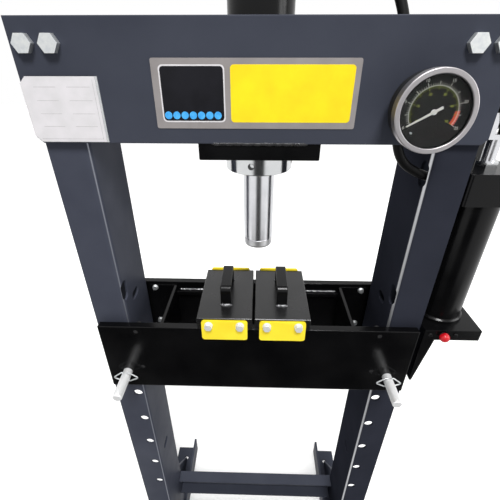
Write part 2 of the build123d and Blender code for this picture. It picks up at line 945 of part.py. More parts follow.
def make_pump_bracket():
    """The folded shelf on the right column, with its front lip, gusset and back plate."""
    shelf_end = column_outer + shelf_reach
    with BuildPart() as bracket:
        with BuildSketch(facing(-shelf_front)):
            with BuildLine():
                Polyline(
                    (column_outer, shelf_top),
                    (shelf_end, shelf_top),
                    (shelf_end, shelf_top - lip_height),
                    (column_outer + gusset_reach, shelf_top - lip_height),
                    (column_outer + shelf_wall, shelf_top - lip_height - gusset_drop),
                    (column_outer, shelf_top - lip_height - gusset_drop),
                    close=True,
                )
            make_face()
            with Locations((knob_x, knob_z)):
                Circle(valve_stem_radius + slide_gap, mode=Mode.SUBTRACT)
            with Locations(*lip_screw_places()):
                Circle(lip_screw_radius + fit_gap, mode=Mode.SUBTRACT)
        extrude(amount=-shelf_wall)
        with BuildSketch(Plane.XY.offset(shelf_top - shelf_wall)):
            with Locations(((column_outer + shelf_end) / 2, (column_half - shelf_front) / 2)):
                Rectangle(shelf_reach, shelf_front + column_half)
            with Locations((tank_x, tank_y)):
                Circle(shelf_passage, mode=Mode.SUBTRACT)
        extrude(amount=shelf_wall)
        with BuildSketch(Plane.YZ.offset(column_outer)):
            with Locations(((column_half - shelf_front) / 2, shelf_top - (lip_height + gusset_drop) / 2)):
                Rectangle(shelf_front + column_half, lip_height + gusset_drop)
        extrude(amount=shelf_wall)
    keep(bracket, "pump_bracket")


def lip_screw_places():
    """The two screws beside the release knob, in X and Z."""
    return [(knob_x + step * lip_screw_pitch / 2, knob_z) for step in (-1, 1)]


def make_release_valve():
    """The valve block behind the lip, its two screws, and the knob on its stem."""
    inside = -shelf_front + shelf_wall
    with BuildPart() as valve:
        with BuildSketch(facing(inside)):
            with Locations((knob_x, shelf_top - shelf_wall - valve_height / 2)):
                Rectangle(valve_width, valve_height)
            with Locations((knob_x, knob_z)):
                Circle(valve_stem_radius + running_gap, mode=Mode.SUBTRACT)
            with Locations(*lip_screw_places()):
                Circle(lip_screw_radius + fit_gap, mode=Mode.SUBTRACT)
        extrude(amount=-valve_depth)
    keep(valve, "release_valve_block")
    with BuildPart() as screws:
        with BuildSketch(facing(-shelf_front)):
            with Locations(*lip_screw_places()):
                Circle(lip_screw_head)
        extrude(amount=lip_screw_head_height, taper=25)
        with BuildSketch(facing(-shelf_front)):
            with Locations(*lip_screw_places()):
                Circle(lip_screw_radius)
        extrude(amount=-shelf_wall - lip_screw_depth)
    keep(screws, "lip_screws")
    with BuildPart() as knob:
        with BuildSketch(facing(-shelf_front - knob_standoff)):
            with Locations((knob_x, knob_z)):
                Circle(knob_radius)
        extrude(amount=knob_height)
        fillet(knob.faces().sort_by(Axis.Y)[0].edges(), knob_radius - edge_round)
        fillet(knob.faces().sort_by(Axis.Y)[-1].edges(), edge_round)
    keep(knob, "release_knob")
    with BuildPart() as stem:
        with BuildSketch(facing(-shelf_front - knob_standoff)):
            with Locations((knob_x, knob_z)):
                Circle(valve_stem_radius)
        extrude(amount=-(knob_standoff + shelf_wall + valve_stem_depth))
    keep(stem, "release_stem")


def make_tank():
    """The oil tank, with a welded ring round its foot."""
    with BuildPart() as tank:
        with BuildSketch(Plane.XY.offset(shelf_top)):
            with Locations((tank_x, tank_y)):
                Circle(ring_radius)
        extrude(amount=ring_height)
        chamfer(tank.faces().sort_by(Axis.Z)[-1].edges(), ring_lip)
        with BuildSketch(Plane.XY.offset(shelf_top)):
            with Locations((tank_x, tank_y)):
                Circle(tank_radius)
        extrude(amount=tank_height)
        with BuildSketch(Plane.XY.offset(shelf_top)):
            with Locations((tank_x, tank_y)):
                Circle(tank_radius - tank_wall)
        extrude(amount=tank_height, mode=Mode.SUBTRACT)
    keep(tank, "oil_tank")


def make_pump_head():
    """The pump body on the tank, with its plunger bore, lever ears and hose port, then what it carries."""
    with BuildPart() as body:
        with BuildSketch(Plane.XY.offset(head_floor)):
            with Locations((tank_x, tank_y + (pump_head_back - pump_head_front) / 2)):
                RectangleRounded(pump_head_width, pump_head_back + pump_head_front, pump_head_round)
        extrude(amount=pump_head_height)
        with BuildSketch(Plane.XY.offset(head_floor + bore_floor)):
            with Locations((tank_x, tank_y)):
                Circle(plunger_radius + running_gap)
        extrude(amount=pump_head_height + overrun, mode=Mode.SUBTRACT)
        for step in (-1, 1):
            with BuildSketch(Plane.YZ.offset(tank_x + step * (tongue_wall / 2 + tongue_gap))):
                with Locations((pivot_y, (head_roof + pivot_z) / 2)):
                    Rectangle(ear_width, pivot_z - head_roof)
                with Locations((pivot_y, pivot_z)):
                    Circle(ear_width / 2)
                    Circle(pivot_radius + running_gap, mode=Mode.SUBTRACT)
            extrude(amount=step * ear_wall)
        with BuildSketch(Plane(origin=hose_end, z_dir=(1, 0, 0))):
            Circle(port_radius)
        extrude(amount=pump_port_reach)
    keep(body, "pump_head")
    with BuildPart() as gland:
        with BuildSketch(Plane.XY.offset(head_roof)):
            with Locations((tank_x, tank_y)):
                RegularPolygon(gland_nut_radius, 6)
                Circle(plunger_radius + running_gap, mode=Mode.SUBTRACT)
        extrude(amount=gland_nut_height)
    keep(gland, "plunger_gland")
    with BuildPart() as pivot:
        with BuildSketch(Plane.YZ.offset(tank_x)):
            with Locations((pivot_y, pivot_z)):
                Circle(pivot_radius)
        extrude(amount=tongue_wall / 2 + tongue_gap + ear_wall + edge_round, both=True)
    keep(pivot, "lever_pivot")
    with BuildPart() as filler:
        with BuildSketch(Plane.XY.offset(head_roof)):
            corner_x = tank_x + pump_head_width / 2 - filler_inset
            with Locations((corner_x, tank_y - pump_head_front + filler_inset)):
                RegularPolygon(filler_radius, 6)
        extrude(amount=filler_height)
    keep(filler, "filler_plug")


def make_plunger():
    """The plunger with a fork on top, and the cross pin that the lever lifts it by."""
    fork_bottom = cross_pin_z - fork_under
    fork_width = tongue_wall + 2 * tongue_gap + 2 * fork_wall
    with BuildPart() as plunger:
        with BuildSketch(Plane.XY.offset(head_roof - plunger_depth)):
            with Locations((tank_x, tank_y)):
                Circle(plunger_radius)
        extrude(amount=fork_bottom - head_roof + plunger_depth)
        with BuildSketch(Plane.XY.offset(fork_bottom)):
            with Locations((tank_x, tank_y)):
                Rectangle(fork_width, fork_depth)
        extrude(amount=fork_under + fork_over)
        with BuildSketch(Plane.XY.offset(cross_pin_z - fork_slot)):
            with Locations((tank_x, tank_y)):
                Rectangle(tongue_wall + 2 * tongue_gap, fork_depth)
        extrude(amount=fork_slot + fork_over + overrun, mode=Mode.SUBTRACT)
        with BuildSketch(Plane.YZ.offset(tank_x)):
            with Locations((tank_y, cross_pin_z)):
                Circle(cross_pin_radius + running_gap)
        extrude(amount=fork_width, both=True, mode=Mode.SUBTRACT)
    keep(plunger, "pump_plunger")
    with BuildPart() as pin:
        with BuildSketch(Plane.YZ.offset(tank_x)):
            with Locations((tank_y, cross_pin_z)):
                Circle(cross_pin_radius)
        extrude(amount=fork_width / 2 + edge_round, both=True)
    keep(pin, "plunger_cross_pin")


def make_lever():
    """The lever tongue with its slot and socket, the bar in the socket and the grip."""
    along = Vector(0, -cos(radians(lever_lean)), sin(radians(lever_lean)))
    cross_pin = Vector(tank_x, tank_y, cross_pin_z)
    socket_foot = cross_pin + along * neck_length
    slot_run = crank_arm / cos(radians(crank_angle)) - crank_arm
    with BuildPart() as lever:
        with BuildSketch(Plane.YZ.offset(tank_x)):
            arm_middle = ((pivot_y + tank_y) / 2, (pivot_z + cross_pin_z) / 2, 0)
            with Locations(Location(arm_middle, (0, 0, -crank_angle))):
                SlotCenterToCenter(crank_arm / cos(radians(crank_angle)), tongue_width)
            neck_middle = cross_pin + along * (neck_length / 2)
            with Locations(Location((neck_middle.Y, neck_middle.Z, 0), (0, 0, -lever_lean))):
                SlotCenterToCenter(neck_length, tongue_width)
        extrude(amount=tongue_wall / 2, both=True)
        with BuildSketch(Plane(origin=socket_foot, z_dir=along)):
            Circle(socket_radius)
        extrude(amount=socket_length)
        with BuildSketch(Plane(origin=socket_foot + along * socket_floor, z_dir=along)):
            Circle(bar_radius + running_gap)
        extrude(amount=socket_length, mode=Mode.SUBTRACT)
        with BuildSketch(Plane.YZ.offset(tank_x)):
            with Locations((pivot_y, pivot_z)):
                Circle(pivot_radius + running_gap)
            slot_y = tank_y + slot_run / 2 * cos(radians(crank_angle))
            slot_z = cross_pin_z - slot_run / 2 * sin(radians(crank_angle))
            slot_round = 2 * (cross_pin_radius + cross_pin_gap)
            with Locations(Location((slot_y, slot_z, 0), (0, 0, -crank_angle))):
                SlotOverall(slot_run + slot_round, slot_round)
        extrude(amount=tongue_wall, both=True, mode=Mode.SUBTRACT)
    keep(lever, "pump_lever")
    bar_foot = socket_foot + along * socket_floor
    with BuildPart() as bar:
        with BuildSketch(Plane(origin=bar_foot, z_dir=along)):
            Circle(bar_radius)
        extrude(amount=bar_length)
    keep(bar, "lever_bar")
    with BuildPart() as grip:
        with BuildSketch(Plane(origin=bar_foot + along * (bar_length - grip_length), z_dir=along)):
            Circle(grip_radius)
        extrude(amount=grip_length + grip_floor)
        fillet(grip.faces().sort_by(Axis.Z)[-1].edges(), grip_round)
        with BuildSketch(Plane(origin=bar_foot + along * (bar_length - grip_length), z_dir=along)):
            Circle(bar_radius + running_gap)
        extrude(amount=grip_length, mode=Mode.SUBTRACT)
    keep(grip, "lever_grip")


for side_name, side_sign in sides:
    make_column(f"{side_name}_column", side_sign)
    make_foot(f"{side_name}_foot", side_sign)
    make_spacer(f"{side_name}_bed_spacer", side_sign)
    make_pin(side_name, side_sign)
    make_block(side_name, side_sign)
for end_name, end_sign in ends:
    make_head_plate(f"{end_name}_head_plate", end_sign)
    make_bed_plate(f"{end_name}_bed_plate", end_sign)
make_braces()
make_ties()
make_foot_bolts()
make_head_bolts()
make_stiffeners()
make_ribs()
make_thrust_plate()
make_barrel()
make_cap()
make_ring_nut()
make_ram()
make_hose()
make_gauge()
make_spacer_bolts()
make_pump_bracket()
make_release_valve()
make_tank()
make_pump_head()
make_plunger()
make_lever()
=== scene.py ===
import json
import math

import bmesh
import bpy
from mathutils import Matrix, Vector


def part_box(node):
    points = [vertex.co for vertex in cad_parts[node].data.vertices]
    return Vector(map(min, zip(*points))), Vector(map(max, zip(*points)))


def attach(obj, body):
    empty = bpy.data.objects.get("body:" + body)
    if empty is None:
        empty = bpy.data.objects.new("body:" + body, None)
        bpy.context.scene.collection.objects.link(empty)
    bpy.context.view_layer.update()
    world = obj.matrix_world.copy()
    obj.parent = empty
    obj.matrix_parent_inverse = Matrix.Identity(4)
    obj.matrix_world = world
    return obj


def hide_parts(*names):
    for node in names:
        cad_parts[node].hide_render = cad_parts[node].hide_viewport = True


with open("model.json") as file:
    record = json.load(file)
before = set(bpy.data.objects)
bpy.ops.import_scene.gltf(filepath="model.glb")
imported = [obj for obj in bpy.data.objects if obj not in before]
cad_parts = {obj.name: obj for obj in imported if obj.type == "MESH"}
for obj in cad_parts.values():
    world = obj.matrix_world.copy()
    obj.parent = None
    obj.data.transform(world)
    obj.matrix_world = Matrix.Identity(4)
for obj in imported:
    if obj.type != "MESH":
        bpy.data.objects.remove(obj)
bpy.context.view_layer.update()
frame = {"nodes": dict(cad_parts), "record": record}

print("stage: frame loaded,", len(frame["nodes"]), "nodes")


def hexColor(code):
    shares = [int(code[i:i + 2], 16) / 255 for i in (1, 3, 5)]
    return [s / 12.92 if s <= 0.04045 else ((s + 0.055) / 1.055) ** 2.4 for s in shares] + [1]


def perMm(size):
    return 1000 / size  # noise scale whose features are that many millimetres


def addNode(tree, kind, settings=None, links=None):
    node = tree.nodes.new(kind)
    for key, value in (settings or {}).items():
        setattr(node, key, value)
    for key, value in (links or {}).items():
        if isinstance(value, bpy.types.NodeSocket):
            tree.links.new(value, node.inputs[key])
        else:
            node.inputs[key].default_value = value
    return node


# A share of 1 inside a box and 0 outside it; a side that is None stays open.
def boxMask(tree, low, high, mirrored=True):
    place = addNode(tree, "ShaderNodeTexCoord").outputs["Object"]
    if mirrored:  # the same box on both sides of the middle
        place = addNode(tree, "ShaderNodeVectorMath", {"operation": "ABSOLUTE"}, {0: place}).outputs[0]
    spot = addNode(tree, "ShaderNodeSeparateXYZ", None, {0: place}).outputs
    inside = None
    for axis in range(3):
        for limit, test in ((low[axis], "GREATER_THAN"), (high[axis], "LESS_THAN")):
            if limit is None:
                continue
            side = addNode(tree, "ShaderNodeMath", {"operation": test}, {0: spot[axis], 1: limit}).outputs[0]
            inside = side if inside is None else addNode(
                tree, "ShaderNodeMath", {"operation": "MULTIPLY"}, {0: inside, 1: side}).outputs[0]
    return inside


patternSpec = {
    "cloudDetail": 4, "cloudRange": (0.34, 0.66), "grainDetail": 2, "grainStrength": 0.5,
    "edgeSamples": 4, "patchRange": (0.75, 1.0)}


# A finish: colour and roughness drift in clouds, and a fine grain stands up as bump.
# Sizes in a look are millimetres.
def surface(name, look):
    material = bpy.data.materials.new(name)
    material.use_nodes = True
    tree = material.node_tree
    shader = tree.nodes["Principled BSDF"]
    place = addNode(tree, "ShaderNodeTexCoord").outputs["Object"]
    if "rings" in look:  # turning marks run round an axis along Y
        flat = addNode(tree, "ShaderNodeVectorMath", {"operation": "MULTIPLY"}, {0: place, 1: (1, 0, 1)})
        centre = (look["rings"][0], 0, look["rings"][1])
        radius = addNode(tree, "ShaderNodeVectorMath", {"operation": "DISTANCE"}, {
            0: flat.outputs[0], 1: centre})
        place = addNode(tree, "ShaderNodeCombineXYZ", None, {0: radius.outputs["Value"]}).outputs[0]
    spread = addNode(tree, "ShaderNodeMapping", None, {
        "Vector": place, "Scale": look.get("stretch", (1, 1, 1))})
    cloud = addNode(tree, "ShaderNodeTexNoise", None, {
        "Vector": place, "Scale": perMm(look["cloud"]), "Detail": patternSpec["cloudDetail"]})
    cloudLow, cloudHigh = patternSpec["cloudRange"]
    share = addNode(tree, "ShaderNodeMapRange", None, {
        0: cloud.outputs[0], 1: cloudLow, 2: cloudHigh}).outputs[0]
    tone = addNode(tree, "ShaderNodeMix", {"data_type": "RGBA"}, {
        0: share, 6: hexColor(look["base"]), 7: hexColor(look["second"])}).outputs[2]
    grain = addNode(tree, "ShaderNodeTexNoise", None, {
        "Vector": spread.outputs[0], "Scale": perMm(look["grain"]), "Detail": patternSpec["grainDetail"]})
    rough = addNode(tree, "ShaderNodeMapRange", None, {
        0: share, 3: look["rough"][0], 4: look["rough"][1]}).outputs[0]
    bump = addNode(tree, "ShaderNodeBump", None, {
        "Strength": look.get("strength", patternSpec["grainStrength"]),
        "Distance": look["depth"] / 1000, "Height": grain.outputs[0]})
    if "edge" in look:  # sharp edges of the solids catch light as if slightly rounded
        worn = addNode(tree, "ShaderNodeBevel", {"samples": patternSpec["edgeSamples"]}, {
            "Radius": look["edge"] / 1000})
        tree.links.new(worn.outputs[0], bump.inputs["Normal"])
    if "channelShade" in look:  # painted shade: a darker tone on the inside of the channels, where little light reaches
        deep = boxMask(tree, *look["channelShade"]["box"])
        tone = addNode(tree, "ShaderNodeMix", {"data_type": "RGBA"}, {
            0: deep, 6: tone, 7: hexColor(look["channelShade"]["tone"])}).outputs[2]
    if "bendHighlight" in look:  # painted highlight: bright bare metal along the channel's bends, on faces turned one way, where a light is mirrored
        facing = addNode(tree, "ShaderNodeSeparateXYZ", None, {
            0: addNode(tree, "ShaderNodeNewGeometry").outputs["Normal"]}).outputs
        turn = addNode(tree, "ShaderNodeMath", {"operation": "MULTIPLY"}, {
            0: facing[0], 1: facing[1]}).outputs[0]
        highlightShare = addNode(tree, "ShaderNodeMapRange", None, {
            0: turn, 1: look["bendHighlight"]["start"], 2: look["bendHighlight"]["full"]}).outputs[0]
        patchLow, patchHigh = patternSpec["patchRange"]
        patchy = addNode(tree, "ShaderNodeMapRange", None, {0: share, 3: patchLow, 4: patchHigh}).outputs[0]
        highlightShare = addNode(tree, "ShaderNodeMath", {"operation": "MULTIPLY"}, {0: highlightShare, 1: patchy}).outputs[0]
        tone = addNode(tree, "ShaderNodeMix", {"data_type": "RGBA"}, {
            0: highlightShare, 6: tone, 7: hexColor(look["bendHighlight"]["tone"])}).outputs[2]
        rough = addNode(tree, "ShaderNodeMix", None, {
            0: highlightShare, 2: rough, 3: look["bendHighlight"]["rough"]}).outputs[0]
        tree.links.new(highlightShare, shader.inputs["Metallic"])
    if "overpaint" in look:  # paint over the metal on one side of the part
        covered = boxMask(tree, *look["overpaint"]["box"])
        tone = addNode(tree, "ShaderNodeMix", {"data_type": "RGBA"}, {
            0: covered, 6: tone, 7: hexColor(look["overpaint"]["tone"])}).outputs[2]
        bare = addNode(tree, "ShaderNodeMath", {"operation": "SUBTRACT"}, {0: 1.0, 1: covered}).outputs[0]
        tree.links.new(bare, shader.inputs["Metallic"])
    tree.links.new(tone, shader.inputs["Base Color"])
    tree.links.new(rough, shader.inputs["Roughness"])
    tree.links.new(bump.outputs[0], shader.inputs["Normal"])
    for socket, value in look.get("sockets", {}).items():
        shader.inputs[socket].default_value = value
    return material


gaugeLow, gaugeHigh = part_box("gauge_bezel")
gaugeX = (gaugeLow.x + gaugeHigh.x) / 2
gaugeZ = (gaugeLow.z + gaugeHigh.z) / 2

columnLow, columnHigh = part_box("right_column")
columnSpec = {"skin": 0.0045}  # just under the channel's wall
channel = ((columnLow.x + columnSpec["skin"], None, None), (None, columnHigh.y - columnSpec["skin"], None))
# Slate powder coat: soft broad highlights and a fine orange peel, with rounded paint on the edges.
frameCoat = surface("slatePowderCoatSprayed", {
    "base": "#3d404a", "second": "#363943", "cloud": 140, "grain": 2.2, "depth": 0.12,
    "rough": (0.42, 0.54), "edge": 1.6, "sockets": {"Specular IOR Level": 0.08}})
# Column coat: the same slate, with a painted highlight along the rolled bends and painted shade inside the
# channel.
columnLook = {
    "base": "#434651", "second": "#3b3e49", "cloud": 140, "grain": 2.2, "depth": 0.12,
    "rough": (0.42, 0.54), "sockets": {"Specular IOR Level": 0.04},
    "channelShade": {"box": channel, "tone": "#2b2e36"}}
# Left column: the column coat with a painted highlight along its bends.
leftCoat = surface("slatePowderCoatSprayedLeft", {
    **columnLook, "bendHighlight": {"start": -0.46, "full": -0.498, "tone": "#8a8d96", "rough": 0.4}})
# Right column: a darker, flatter copy of the column coat, painted shade for the column the light reaches
# less, with a painted highlight along its bends.
rightCoatShaded = surface("slatePowderCoatShadedRight", {
    **columnLook, "base": "#2e3039", "second": "#282a32", "sockets": {"Specular IOR Level": 0},
    "bendHighlight": {"start": 0.4, "full": 0.47, "tone": "#d0d1d4", "rough": 0.3}})
# Black enamel: a deep wet skin that turns grey only where it mirrors white.
blackEnamel = surface("blackEnamelSprayed", {
    "base": "#060607", "second": "#0a0a0b", "cloud": 90, "grain": 2.6, "depth": 0.07,
    "rough": (0.16, 0.26), "edge": 1.4, "sockets": {"Specular IOR Level": 0.2}})
# Block enamel: smooth black that carries a clear grey sheen on its flat tops.
blockEnamel = surface("blackBlockEnamelRubbed", {
    "base": "#151516", "second": "#1b1b1c", "cloud": 60, "grain": 1.6, "depth": 0.05,
    "rough": (0.2, 0.28), "edge": 1.2})
# Yellow enamel: clear strong colour, slightly deeper where the coat lies thicker.
yellowEnamel = surface("yellowEnamelBaked", {
    "base": "#fbe42c", "second": "#f6d81c", "cloud": 45, "grain": 2.0, "depth": 0.08,
    "rough": (0.34, 0.45), "edge": 1.0, "sockets": {"Specular IOR Level": 0.35}})
# Hard chrome: bright and softly blurred, with polishing lines running round the rod.
# The lines are drawn coarser than real, about 0.75 mm apart, so that they show.
hardChrome = surface("hardChromePolished", {
    "base": "#e8e8eb", "second": "#dedfe3", "cloud": 60, "grain": 30, "stretch": (0.5, 0.5, 40),
    "depth": 0.02, "strength": 0.25, "rough": (0.2, 0.27), "sockets": {"Metallic": 1}})
# Turned steel: bright with fine rings from the lathe, drawn coarser than real so that they show.
turnedSteel = surface("bareSteelTurned", {
    "base": "#e2e3e4", "second": "#d6d8d9", "cloud": 40, "grain": 24, "stretch": (0.4, 0.4, 34),
    "depth": 0.03, "strength": 0.3, "rough": (0.12, 0.18), "sockets": {"Metallic": 1}})
# Nose steel: paler and duller than the rod, faced on the lathe, with coarser rings than real.
noseSteel = surface("noseSteelFaced", {
    "base": "#ebebec", "second": "#dedee0", "cloud": 20, "grain": 20, "stretch": (0.4, 0.4, 30),
    "depth": 0.04, "strength": 0.4, "rough": (0.38, 0.46), "sockets": {"Metallic": 1}})
# Zinc plate: pale grey metal with a faint cloudy bloom, its grain drawn coarser than real.
zincLook = {
    "base": "#dadcdb", "second": "#cbced0", "cloud": 7, "grain": 1.2, "depth": 0.05,
    "rough": (0.5, 0.6), "edge": 0.6, "sockets": {"Metallic": 1}}
zincPlate = surface("zincPlatedSteelTumbled", zincLook)
# Bloomed zinc: the white haze of handled plating, half metal and half chalk.
zincBloomed = surface("zincPlatedSteelBloomed", {
    **zincLook, "base": "#eff0ef", "second": "#dfe1e1", "sockets": {"Metallic": 0.55}})
# Painted zinc: the same bolts, enamelled black with the plate on the operator's side.
zincOverpainted = surface("zincPlatedSteelOverpainted", {
    **zincLook, "overpaint": {"box": ((None, None, None), (None, 0, None), False), "tone": "#101012"}})
# Pin steel: bright ground bar, blurred lengthwise and hazed white with handling.
# The grinding lines are drawn coarser than real so that they show.
pinSteel = surface("pinSteelGround", {
    "base": "#f2f2f2", "second": "#e4e5e6", "cloud": 30, "grain": 20, "stretch": (30, 0.5, 30),
    "depth": 0.03, "strength": 0.4, "rough": (0.52, 0.6), "sockets": {"Metallic": 0.6}})
# Hose rubber: dull black with the fine weave of its curing wrap.
hoseRubber = surface("blackHoseRubberWrapCured", {
    "base": "#070708", "second": "#0d0d0e", "cloud": 30, "grain": 1.4, "depth": 0.16,
    "rough": (0.4, 0.5), "sockets": {"Specular IOR Level": 0.15}})
# Red plastic: saturated and glossy with a slight moulding ripple.
redPlastic = surface("redPlasticMoulded", {
    "base": "#cf1220", "second": "#bd0e1b", "cloud": 12, "grain": 3, "depth": 0.06,
    "rough": (0.22, 0.32), "edge": 0.5})
# Gauge case: satin black crackle lacquer.
caseLacquer = surface("gaugeCaseLacquerStoved", {
    "base": "#1d1d1e", "second": "#141415", "cloud": 14, "grain": 0.9, "depth": 0.1,
    "rough": (0.4, 0.52), "edge": 0.6, "sockets": {"Specular IOR Level": 0.35}})
# Bezel steel: satin silver, spun so that fine rings run round the rim, drawn coarser than real.
bezelSteel = surface("stainlessBezelSpun", {
    "base": "#b2afb1", "second": "#a4a1a3", "cloud": 16, "grain": 0.5, "rings": (gaugeX, gaugeZ),
    "depth": 0.03, "strength": 0.4, "rough": (0.34, 0.44), "sockets": {"Metallic": 1}})
# Dial: flat black with the grain of its anodised plate, drawn coarser than real.
dialPrint = surface("blackDialAnodised", {
    "base": "#0e0d0d", "second": "#131212", "cloud": 9, "grain": 0.5, "depth": 0.03,
    "rough": (0.6, 0.72), "sockets": {"Specular IOR Level": 0.2}})
# Gauge window: clear, with faint smears in its shine. Its IOR is lower than that of common glass,
# so that the white studio hardly shows in it and the dial stays easy to read.
clearGlass = surface("gaugeGlassFloated", {
    "base": "#ffffff", "second": "#f8fbfb", "cloud": 30, "grain": 40, "depth": 0.01,
    "strength": 0.05, "rough": (0.0, 0.008), "sockets": {"Transmission Weight": 1, "IOR": 1.15}})
# Needle paint: chalky white, its grain drawn coarser than real.
needlePaint = surface("whiteNeedlePaintDipped", {
    "base": "#d6d5d0", "second": "#c9c8c2", "cloud": 6, "grain": 0.8, "depth": 0.03, "rough": (0.5, 0.6)})
# Brass: warm yellow metal with lathe marks, drawn coarser than real.
brassTurned = surface("brassMachined", {
    "base": "#dcbf7c", "second": "#c8a762", "cloud": 12, "grain": 12, "stretch": (1, 1, 20),
    "depth": 0.05, "strength": 0.4, "rough": (0.22, 0.32), "sockets": {"Metallic": 1}})
# Weld metal: rippled steel left bare, bright and sooty in patches.
weldMetal = surface("weldSteelArcLaid", {
    "base": "#9a9a9c", "second": "#39393b", "cloud": 6, "grain": 1.1, "depth": 0.3,
    "rough": (0.24, 0.45), "sockets": {"Metallic": 1}})
# Painted weld: the same ripple under black enamel.
weldPainted = surface("weldSteelEnamelled", {
    "base": "#1a1a1c", "second": "#2a2a2c", "cloud": 8, "grain": 1.3, "depth": 0.3,
    "rough": (0.2, 0.34), "sockets": {"Specular IOR Level": 0.5}})
# White plate: off-white baked on thin aluminium.
plateWhite = surface("whitePlateBaked", {
    "base": "#d6d3d6", "second": "#cccacc", "cloud": 26, "grain": 1.2, "depth": 0.04,
    "rough": (0.36, 0.46), "edge": 0.3})
# Film grey: warm grey with a faint grain from the rolls; the films' grain is drawn coarser than real.
filmGrey = surface("greyVinylFilmRolled", {
    "base": "#8d8887", "second": "#827d7c", "cloud": 40, "grain": 1.1, "depth": 0.05, "rough": (0.45, 0.56)})
# Film black: glossier than the grey film round it.
filmBlack = surface("blackVinylFilmRolled", {
    "base": "#0d0d12", "second": "#131319", "cloud": 30, "grain": 1.1, "depth": 0.03,
    "rough": (0.3, 0.4), "sockets": {"Specular IOR Level": 0.2}})
# Film blue: clear sky blue with a slight gloss.
filmBlue = surface("blueVinylFilmCut", {
    "base": "#4db1ee", "second": "#2d93dd", "cloud": 7, "grain": 1.0, "depth": 0.03, "rough": (0.32, 0.42)})
# Film yellow: strong warm yellow, a little redder than the enamel.
filmYellow = surface("yellowVinylFilmCut", {
    "base": "#f7dc0c", "second": "#efd002", "cloud": 40, "grain": 1.0, "depth": 0.03, "rough": (0.34, 0.44)})
# Rule ink: flat grey on the plate; the grain of all inks is drawn coarser than real.
ruleInk = surface("greyRuleInkScreened", {
    "base": "#a9a6a8", "second": "#b9b6b8", "cloud": 4, "grain": 0.8, "depth": 0.01, "rough": (0.5, 0.6)})
# Scale inks: white, yellow-green and red print on the dial.
inkWhite = surface("whiteScaleInkPrinted", {
    "base": "#d9d8d2", "second": "#c6c5be", "cloud": 3, "grain": 0.6, "depth": 0.01, "rough": (0.5, 0.6)})
inkLime = surface("limeScaleInkPrinted", {
    "base": "#a9b53a", "second": "#97a32c", "cloud": 3, "grain": 0.6, "depth": 0.01, "rough": (0.5, 0.6)})
inkRed = surface("redScaleInkPrinted", {
    "base": "#c8371f", "second": "#b52c1a", "cloud": 3, "grain": 0.6, "depth": 0.01, "rough": (0.5, 0.6)})
print("stage: materials made,", len(bpy.data.materials))

slotLooks = {
    "frame_paint": frameCoat, "black_paint": blackEnamel, "block_paint": blockEnamel,
    "yellow_paint": yellowEnamel, "chrome": hardChrome, "turned_steel": turnedSteel, "zinc": zincPlate,
    "rubber": hoseRubber, "red_plastic": redPlastic, "gauge_case": caseLacquer, "gauge_bezel": bezelSteel,
    "gauge_dial": dialPrint, "gauge_glass": clearGlass, "needle_white": needlePaint, "brass": brassTurned}
nodeLooks = {
    "spacer_bolts": zincOverpainted, "left_bed_pin": pinSteel, "right_bed_pin": pinSteel,
    "left_block_bolts": zincBloomed, "right_block_bolts": zincBloomed,
    "left_column": leftCoat, "right_column": rightCoatShaded, "ram_nose": noseSteel}
for part in frame["record"]["subparts"]:
    skin = frame["nodes"][part["node"]].data.materials
    skin.clear()
    skin.append(nodeLooks.get(part["node"], slotLooks[part["material_slot"]]))
print("stage: CAD nodes painted")


def addPiece(name, mesh, material, body):
    piece = bpy.data.objects.new(name, mesh)
    bpy.context.scene.collection.objects.link(piece)
    piece.data.materials.append(material)
    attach(piece, body)
    return piece


def finishMesh(build, name):
    bmesh.ops.recalc_face_normals(build, faces=build.faces)
    mesh = bpy.data.meshes.new(name)
    build.to_mesh(mesh)
    build.free()
    return mesh


# A thin slab on the frame: outlines in X and Z, drawn out along Y from back to front.
def addSlab(name, outlines, back, front, material):
    build = bmesh.new()
    for outline in outlines:
        low = [build.verts.new((x, back, z)) for x, z in outline]
        high = [build.verts.new((x, front, z)) for x, z in outline]
        build.faces.new(low)
        build.faces.new(high[::-1])
        for i in range(len(outline)):
            j = (i + 1) % len(outline)
            build.faces.new((low[j], low[i], high[i], high[j]))
    addPiece(name, finishMesh(build, name), material, "frame")


def roundedRect(x0, z0, x1, z1, radius, steps=6):
    spots = []
    for cx, cz, start in ((x1, z1, 0), (x0, z1, 90), (x0, z0, 180), (x1, z0, 270)):
        ix = cx - math.copysign(radius, cx - (x0 + x1) / 2)
        iz = cz - math.copysign(radius, cz - (z0 + z1) / 2)
        for i in range(steps + 1):
            turn = math.radians(start + 90 * i / steps)
            spots.append((ix + radius * math.cos(turn), iz + radius * math.sin(turn)))
    return spots


def disc(x, z, radius, steps=32):
    turns = [2 * math.pi * i / steps for i in range(steps)]
    return [(x + radius * math.cos(t), z + radius * math.sin(t)) for t in turns]


# A piece of a ring on the dial, from start to end in degrees.
def dialSector(inner, outer, start, end, degreesPerStep=4):
    count = max(2, int(abs(end - start) / degreesPerStep) + 1)
    turns = [math.radians(start + (end - start) * i / (count - 1)) for i in range(count)]
    return ([(gaugeX + outer * math.cos(t), gaugeZ + outer * math.sin(t)) for t in turns]
            + [(gaugeX + inner * math.cos(t), gaugeZ + inner * math.sin(t)) for t in reversed(turns)])


def vertRing(build, middle, radius, across, up, sides):
    turns = [2 * math.pi * k / sides for k in range(sides)]
    return [build.verts.new(middle + radius * (math.cos(t) * across + math.sin(t) * up)) for t in turns]


def joinRings(build, first, second):
    for k in range(len(first)):
        n = (k + 1) % len(first)
        build.faces.new((first[k], first[n], second[n], second[k]))


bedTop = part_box("front_bed_plate")[1].z  # heights in the dictionaries are above it
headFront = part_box("front_head_plate")[0].y

